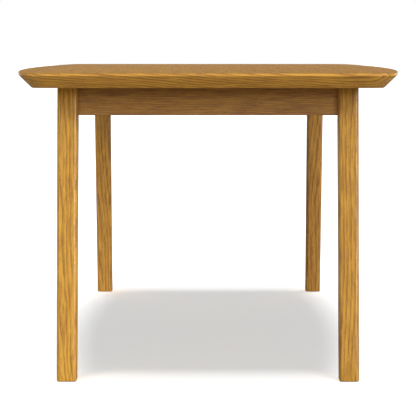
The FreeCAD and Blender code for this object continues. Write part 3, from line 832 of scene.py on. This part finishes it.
class TABLE_OT_legs(bpy.types.Operator):
    """Builds the four splayed legs with their rounded corners and feet"""
    bl_idname = "dining_table.legs"
    bl_label = "Legs"

    def execute(self, context):
        sizes = context.scene.table_legs
        for number, (corner, (side, end)) in enumerate(CORNERS.items()):
            name = "leg_" + corner
            leg = LegFrame(corner, sizes)
            rings = []
            for height, width, corner_radius, flat in self.profile(leg.foot, leg.head, sizes):
                middle_x, middle_y = leg.axis(height)
                ring = self.ring(width, corner_radius)
                if flat:
                    ring = [self.flattened(point, flat, side, end) for point in ring]
                rings.append([(middle_x + x, middle_y + y / math.cos(sizes.splay), height) for x, y in ring])
            material = oak(name, "z", 11.0 + number * 2.7, (0.045 * side, 0.05), tilt=0.015,
                           tint=LEG_TONE_AND_PAINTED_LIGHT[corner], lean=-end * sizes.splay, gloss=0.2, coat=0.45, figure=0.65)
            add_piece(name, loft(name, rings), material, name)
        return {"FINISHED"}

    def profile(self, foot, head, sizes):
        """The sections from the foot up: rounding, taper, then the parallel head.

        Each has its height, its width, its corner radius and how far the bolt's flat is from the axis, or 0.
        """
        points = []
        for step in range(LEG_FOOT_STEPS + 1):
            angle = math.pi / 2 * step / LEG_FOOT_STEPS
            inset = sizes.foot_round * (1 - math.sin(angle))
            points.append((foot + sizes.foot_round * (1 - math.cos(angle)),
                           sizes.foot_width - 2 * inset, sizes.corner_radius - inset, 0))
        start, start_width = points[-1][:2]
        taper_top = head - sizes.head_length
        for step in range(1, LEG_TAPER_STEPS + 1):
            share = step / LEG_TAPER_STEPS
            points.append((start + (taper_top - start) * share,
                           start_width + (sizes.head_width - start_width) * share, sizes.corner_radius, 0))
        corner = sizes.head_width / math.sqrt(2) - (math.sqrt(2) - 1) * sizes.corner_radius
        for height in (taper_top, head):
            points.append((height, sizes.head_width, sizes.corner_radius, corner - sizes.bolt_flat))
        return points

    def ring(self, width, corner):
        """A section square to the leg: a square with rounded corners."""
        reach = width / 2 - corner
        ring = []
        for quarter, (sign_x, sign_y) in enumerate(((1, 1), (-1, 1), (-1, -1), (1, -1))):
            for step in range(LEG_CORNER_STEPS + 1):
                angle = math.pi / 2 * (quarter + step / LEG_CORNER_STEPS)
                x, y = corner * math.cos(angle), corner * math.sin(angle)
                ring.append((sign_x * reach + x, sign_y * reach + y))
        return ring

    def flattened(self, point, flat, side, end):
        """The point, moved back to the bolt's flat, which faces the table's middle, if it lies beyond it."""
        x, y = point
        beyond = max(0, (-side * x - end * y) / math.sqrt(2) - flat) / math.sqrt(2)
        return x + side * beyond, y + end * beyond


class TABLE_OT_rails(bpy.types.Operator):
    """Finishes the end rails, the side rails and the cross rail"""
    bl_idname = "dining_table.rails"
    bl_label = "Rails"

    def execute(self, context):
        # The end rails are made darker and bluer than the rest of the oak: painted shade, standing in for the
        # shade under the top's overhang.
        for seed, rail in ((21.0, "end_rail_front"), (23.0, "end_rail_rear")):
            material = oak(rail, "x", seed, (0.02, -0.30), tilt=0.02, tint=(0.75, 0.70, 0.80), gloss=0.5)
            finish_node(rail, material)
        for seed, rail in ((25.0, "side_rail_left"), (27.0, "side_rail_right")):
            material = oak(rail, "y", seed, (0.03, -0.20), tilt=0.02, tint=(0.90, 0.88, 0.90))
            finish_node(rail, material)
        finish_node("cross_rail", oak("cross_rail", "x", 29.0, (0.05, -0.09)))
        return {"FINISHED"}


BOLT_SIDES, WASHER_SIDES, NUT_SIDES, SCREW_SIDES = 16, 48, 48, 24

# The bolt's thread: its start before the nut's seat, its depth as a share of the pitch, and its rings a turn.
# The last ring lies in by a share of the depth.
THREAD_BEFORE_NUT = 0.025
THREAD_DEPTH_SHARE = 0.54
THREAD_STEPS = 6
BOLT_END_SHARE = 1.6

# The washer's play on the bolt and its eased edge, and the nut's play and the chamfer of its bore
WASHER_PLAY, WASHER_EASE = 0.0002, 0.0002
NUT_PLAY, BORE_CHAMFER = 0.00005, 0.0004

# The nut's corners start to be cut at this share of its half width, 30 degrees off its face
CHAMFER_START_SHARE, CHAMFER_SLOPE = 0.95, 1.73
CHAMFER_DEPTHS = (0.0, 0.0003, 0.0006, 0.0009)

# The screw's head, from its bearing face up: (share of its radius, share of its height)
HEAD_HEIGHT_SHARE = 0.62
HEAD_SHARES = ((0.97, 0.0), (1.0, 0.12), (0.98, 0.5), (0.86, 0.82), (0.66, 1.0))

# The cross recess: its arm and half the arm's width, as shares of the head's radius, then a scale and a share
# of the height for each of its rings
ARM_SHARE, ARM_WIDTH_SHARE = 0.55, 0.15
RECESS_SHARES = ((1.0, 1.02), (0.9, 0.45))


class TABLE_OT_fixings(bpy.types.Operator):
    """Builds the bolts, washers, nuts and screws, and finishes the brackets, clips and foot glides"""
    bl_idname = "dining_table.fixings"
    bl_label = "Fixings and glides"

    def execute(self, context):
        sizes = context.scene.table_fixings
        sheet = plain("zinc_plated_sheet", (0.62, 0.61, 0.57), 0.36, 1.0)
        bright = plain("zinc_plated_bright", (0.70, 0.69, 0.64), 0.26, 1.0)
        yellow = plain("yellow_passivated_screws", (0.66, 0.52, 0.28), 0.30, 1.0)
        for corner in CORNERS:
            finish_node("corner_bracket_" + corner, sheet)
        finish_node("top_clips", sheet)
        finish_node("foot_glides", plain("brown_nylon", (0.20, 0.11, 0.05), 0.5))

        legs = [LegFrame(corner, context.scene.table_legs) for corner in CORNERS]
        along_leg = 1 / math.cos(context.scene.table_legs.splay)
        level = (UNDERSIDE - sizes.rail_height / 2) * along_leg + sizes.bolt_rise
        seat = sizes.web_distance + sizes.sheet
        nut_seat = seat + sizes.washer_thickness
        for node, stack, closed in (("hanger_bolts", self.bolt(sizes, nut_seat), False),
                                    ("bolt_washers", self.washer(sizes, seat), True),
                                    ("bolt_nuts", self.nut(sizes, nut_seat), True)):
            stacks = [carried(stack, leg.on_bolt(level)) for leg in legs]
            add_piece(node, loft(node, *stacks, closed=closed), bright, node)

        screw = self.screw(sizes)
        along = sizes.web_distance * math.sqrt(2) - sizes.rail_thickness / 2 + sizes.flange_length / 2
        face = sizes.rail_thickness / 2 + sizes.sheet
        in_brackets = []
        for leg in legs:
            in_brackets += [carried(screw, leg.on_end_rail(along, face, level)),
                            carried(screw, leg.on_side_rail(along, face, level))]
        add_piece("bracket_screws", loft("bracket_screws", *in_brackets), yellow)
        self.hung_screws("clip_screws", self.clip_places(sizes), UNDERSIDE - sizes.sheet, screw, yellow)
        low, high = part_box("cross_rail")
        spread = (high.x - low.x) / 2 * sizes.counterbore_share
        heads = [(-spread, (low.y + high.y) / 2), (spread, (low.y + high.y) / 2)]
        self.hung_screws("cross_rail_screws", heads, low.z + sizes.counterbore_depth, screw, yellow)
        return {"FINISHED"}

    def hung_screws(self, name, places, height, screw, material):
        """Screws driven up from below, their heads bearing at a height."""
        stacks = [carried(screw, lambda point, x=x, y=y: (x + point[0], y + point[1], height - point[2]))
                  for x, y in places]
        add_piece(name, loft(name, *stacks), material)

    def clip_places(self, sizes):
        """The middle of each clip's slot, one reach in from its rail's inner face."""
        side_low, side_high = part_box("side_rail_left")
        clips_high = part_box("top_clips")[1]
        x = abs(side_high.x) - sizes.clip_reach
        y = clips_high.y - sizes.clip_tongue - sizes.clip_reach
        side_y = (side_high.y - side_low.y) / 2 * sizes.clip_share
        on_sides = [(side * x, end * side_y) for side in (-1, 1) for end in (-1, 1)]
        return on_sides + [(0, -y), (0, y)]

    def bolt(self, sizes, nut_seat):
        """A hanger bolt: plain in the leg, then a rolled thread with a chamfered end."""
        radius, pitch = sizes.bolt_radius, sizes.thread_pitch
        start, end = nut_seat - THREAD_BEFORE_NUT, sizes.bolt_end
        depth = THREAD_DEPTH_SHARE * pitch
        rings = turned([(radius, sizes.bolt_start), (radius, start)], BOLT_SIDES)
        for step in range(1, int((end - start - pitch) / pitch * THREAD_STEPS) + 1):
            height = start + step * pitch / THREAD_STEPS
            ring = []
            for turn in turns_of(BOLT_SIDES):
                phase = (height / pitch - turn / (2 * math.pi)) % 1
                here = radius - depth * abs(2 * phase - 1) * min(1, step / THREAD_STEPS)
                ring.append((here * math.cos(turn), here * math.sin(turn), height))
            rings.append(ring)
        point = [(radius - depth, end - pitch), (radius - BOLT_END_SHARE * depth, end)]
        return rings + turned(point, BOLT_SIDES)

    def washer(self, sizes, seat):
        """A flat washer with both outer edges eased."""
        bore, outer = sizes.bolt_radius + WASHER_PLAY, sizes.washer_radius
        flat, top = outer - WASHER_EASE, seat + sizes.washer_thickness
        return turned([(bore, seat), (bore, top), (flat, top), (outer, top - WASHER_EASE),
                       (outer, seat + WASHER_EASE), (flat, seat)], WASHER_SIDES)

    def nut(self, sizes, seat):
        """A hexagon nut with both faces chamfered."""
        half, top = sizes.nut_across_flats / 2, seat + sizes.nut_height
        bore = sizes.bolt_radius + NUT_PLAY
        mouth = bore + BORE_CHAMFER
        rings = turned([(mouth, seat), (bore, seat + BORE_CHAMFER), (bore, top - BORE_CHAMFER), (mouth, top)],
                       NUT_SIDES)
        levels = [(depth, top - depth) for depth in CHAMFER_DEPTHS]
        levels += [(depth, seat + depth) for depth in reversed(CHAMFER_DEPTHS)]
        for depth, level in levels:
            ring = []
            for turn in turns_of(NUT_SIDES):
                across = (turn + math.pi / 6) % (math.pi / 3) - math.pi / 6
                radius = min(half / math.cos(across), half * CHAMFER_START_SHARE + depth * CHAMFER_SLOPE)
                ring.append((radius * math.sin(turn), radius * math.cos(turn), level))
            rings.append(ring)
        return rings

    def screw(self, sizes):
        """A pan-head screw with a cross recess. z leads out of the wood, and its head bears at zero."""
        radius = sizes.screw_head_radius
        height = HEAD_HEIGHT_SHARE * radius
        head = [(share * radius, level * height) for share, level in HEAD_SHARES]
        rings = turned([(radius / 2, -sizes.sheet), (radius / 2, 0.0)] + head, SCREW_SIDES)
        cross = self.cross(ARM_SHARE * radius, ARM_WIDTH_SHARE * radius)
        return rings + [[(scale * x, scale * y, level * height) for x, y in cross]
                        for scale, level in RECESS_SHARES]

    def cross(self, arm, half):
        """A cross with as many points as the screw's rings. half is half an arm's width."""
        between = (arm + half) / 2
        outline = []
        quadrant = [(arm, -half), (arm, 0), (arm, half), (between, half), (half, half), (half, between)]
        for _ in range(4):
            outline += quadrant
            quadrant = [(-y, x) for x, y in quadrant]
        return outline


class TABLE_PT_panel(bpy.types.Panel):
    """Lists the steps that build the table"""
    bl_idname = "TABLE_PT_panel"
    bl_label = "Dining Table"
    bl_space_type = "VIEW_3D"
    bl_region_type = "UI"
    bl_category = "Dining Table"

    def draw(self, context):
        for operator in OPERATORS:
            self.layout.operator(operator.bl_idname)
        for group in GROUPS:
            settings = getattr(context.scene, group)
            for prop in settings.bl_rna.properties:
                if not prop.is_readonly and prop.identifier != "name":
                    self.layout.prop(settings, prop.identifier)


GROUPS = {"table_top": TopSizes, "table_legs": LegSizes, "table_fixings": FixingSizes, "table_oak": OakFinish,
          "table_stage": StageSettings}
OPERATORS = (TABLE_OT_stage, TABLE_OT_top, TABLE_OT_legs, TABLE_OT_rails, TABLE_OT_fixings)


def register():
    for name, group in GROUPS.items():
        bpy.utils.register_class(group)
        setattr(bpy.types.Scene, name, bpy.props.PointerProperty(type=group))
    for operator in OPERATORS:
        bpy.utils.register_class(operator)
    bpy.utils.register_class(TABLE_PT_panel)


def unregister():
    bpy.utils.unregister_class(TABLE_PT_panel)
    for operator in reversed(OPERATORS):
        bpy.utils.unregister_class(operator)
    for name, group in GROUPS.items():
        delattr(bpy.types.Scene, name)
        bpy.utils.unregister_class(group)


def main():
    register()
    bpy.ops.dining_table.stage()
    bpy.ops.dining_table.top()
    bpy.ops.dining_table.legs()
    bpy.ops.dining_table.rails()
    bpy.ops.dining_table.fixings()


if __name__ == "__main__":
    main()
